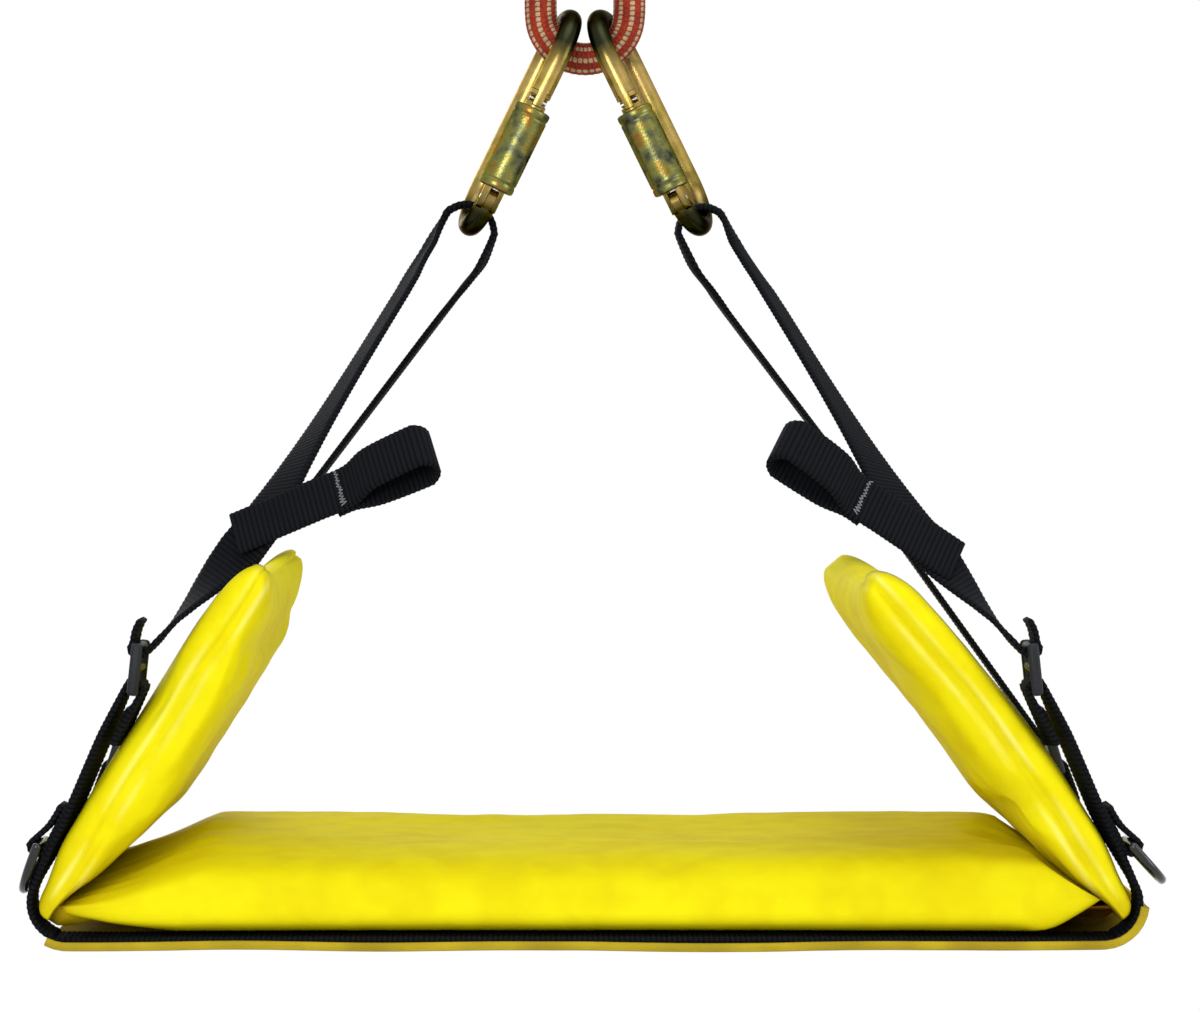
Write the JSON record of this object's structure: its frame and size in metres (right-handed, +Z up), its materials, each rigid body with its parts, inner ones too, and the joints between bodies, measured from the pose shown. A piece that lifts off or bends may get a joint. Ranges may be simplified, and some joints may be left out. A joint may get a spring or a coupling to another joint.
{
  "type": "bosun's chair",
  "caption": "Hanging work seat: padded coated-fabric seat with folding side wings, webbing bridles with buckles and hand loops, screw-gate carabiners and a short rope sling.",
  "frame": {"origin": "hoist eye: the inside top of the rope sling, where a hook bears", "axes": "+X across the chair, to the right seen from the front; -Y the sitter's front; +Z up"},
  "size_m": [0.5031, 0.251, 0.491],
  "materials": {
    "rope": "red braid with pale checks",
    "splice": "black shrink sleeve",
    "yellow_cover": "glossy coated fabric",
    "foam": "open foam",
    "board": "plywood",
    "stiffener": "plastic sheet",
    "webbing": "ribbed webbing",
    "buckle": "moulded, low sheen",
    "black_ring": "gloss black",
    "zinc_steel": "yellow zinc plate",
    "zinc_sleeve": "olive zinc plate",
    "bright_steel": "bright steel"
  },
  "bodies": {
    "chair": {"rope_sling": "rope", "splice_sleeve": "splice", "seat_cover": "yellow_cover", "seat_foam": "foam", "seat_board": "board", "seat_backing": "yellow_cover", "under_sheet": "yellow_cover", "front_seat_strap": "webbing", "rear_seat_strap": "webbing", "left_bridle_strap": "webbing", "left_front_buckle": "buckle", "left_rear_buckle": "buckle", "left_ring_tab": "webbing", "right_bridle_strap": "webbing", "right_front_buckle": "buckle", "right_rear_buckle": "buckle", "right_ring_tab": "webbing"},
    "left_wing": {"left_wing_cover": "yellow_cover", "left_wing_foam": "foam", "left_wing_stiffener": "stiffener", "left_wing_backing": "yellow_cover"},
    "left_carabiner": {"left_carabiner_frame": "zinc_steel", "left_gate_pin": "bright_steel", "left_latch_pin": "bright_steel"},
    "left_gate": {"left_gate": "zinc_steel", "left_gate_spring": "bright_steel", "left_gate_plunger": "bright_steel"},
    "left_sleeve": {"left_sleeve": "zinc_sleeve"},
    "left_hand_loop": {"left_hand_loop": "webbing"},
    "left_tool_ring": {"left_tool_ring": "black_ring"},
    "right_wing": {"right_wing_cover": "yellow_cover", "right_wing_foam": "foam", "right_wing_stiffener": "stiffener", "right_wing_backing": "yellow_cover"},
    "right_carabiner": {"right_carabiner_frame": "zinc_steel", "right_gate_pin": "bright_steel", "right_latch_pin": "bright_steel"},
    "right_gate": {"right_gate": "zinc_steel", "right_gate_spring": "bright_steel", "right_gate_plunger": "bright_steel"},
    "right_sleeve": {"right_sleeve": "zinc_sleeve"},
    "right_hand_loop": {"right_hand_loop": "webbing"},
    "right_tool_ring": {"right_tool_ring": "black_ring"}
  },
  "joints": [
    {"name": "left_wing_fold", "type": "hinge", "parent": "chair", "child": "left_wing", "pos_m": [-0.231, 0, -0.456], "axis": [0, 1, 0], "range_deg": [0, 14]},
    {"name": "left_carabiner_turn", "type": "hinge", "parent": "chair", "child": "left_carabiner", "pos_m": [-0.007, 0, -0.0579], "axis": [-0.4384, 0, -0.8988], "range_deg": [0, 12]},
    {"name": "left_gate_hinge", "type": "hinge", "parent": "left_carabiner", "child": "left_gate", "pos_m": [-0.0439, -0.02167, -0.14226], "axis": [-0.8851, -0.1736, 0.4317], "range_deg": [0, 20], "stiffness_Nm_per_rad": 0.3, "springref_deg": -57.3},
    {"name": "left_sleeve_screw", "type": "slide", "parent": "left_gate", "child": "left_sleeve", "axis": [-0.4384, 0, -0.8988], "range_m": [-0.0105, 0]},
    {"name": "left_loop_flop", "type": "hinge", "parent": "chair", "child": "left_hand_loop", "pos_m": [-0.13345, -0.10151, -0.28495], "axis": [0.2296, -0.709, -0.6668], "range_deg": [0, 25]},
    {"name": "left_ring_swing", "type": "hinge", "parent": "chair", "child": "left_tool_ring", "pos_m": [-0.23893, -0.108, -0.42942], "axis": [0, 1, 0], "range_deg": [0, 80]},
    {"name": "right_wing_fold", "type": "hinge", "parent": "chair", "child": "right_wing", "pos_m": [0.231, 0, -0.456], "axis": [0, -1, 0], "range_deg": [0, 9]},
    {"name": "right_carabiner_turn", "type": "hinge", "parent": "chair", "child": "right_carabiner", "pos_m": [0.007, 0, -0.0579], "axis": [-0.4384, 0, 0.8988], "range_deg": [0, 12]},
    {"name": "right_gate_hinge", "type": "hinge", "parent": "right_carabiner", "child": "right_gate", "pos_m": [0.04255, -0.02135, -0.14292], "axis": [-0.8721, 0.2419, -0.4253], "range_deg": [0, 20], "stiffness_Nm_per_rad": 0.3, "springref_deg": -57.3},
    {"name": "right_sleeve_screw", "type": "slide", "parent": "right_gate", "child": "right_sleeve", "axis": [0.4384, 0, -0.8988], "range_m": [-0.0105, 0]},
    {"name": "right_loop_flop", "type": "hinge", "parent": "chair", "child": "right_hand_loop", "pos_m": [0.14472, -0.1033, -0.29344], "axis": [0.3503, 0.6914, 0.6319], "range_deg": [-2, 25]},
    {"name": "right_ring_swing", "type": "hinge", "parent": "chair", "child": "right_tool_ring", "pos_m": [0.23893, -0.108, -0.42942], "axis": [0, -1, 0], "range_deg": [-15, 65]}
  ]
}
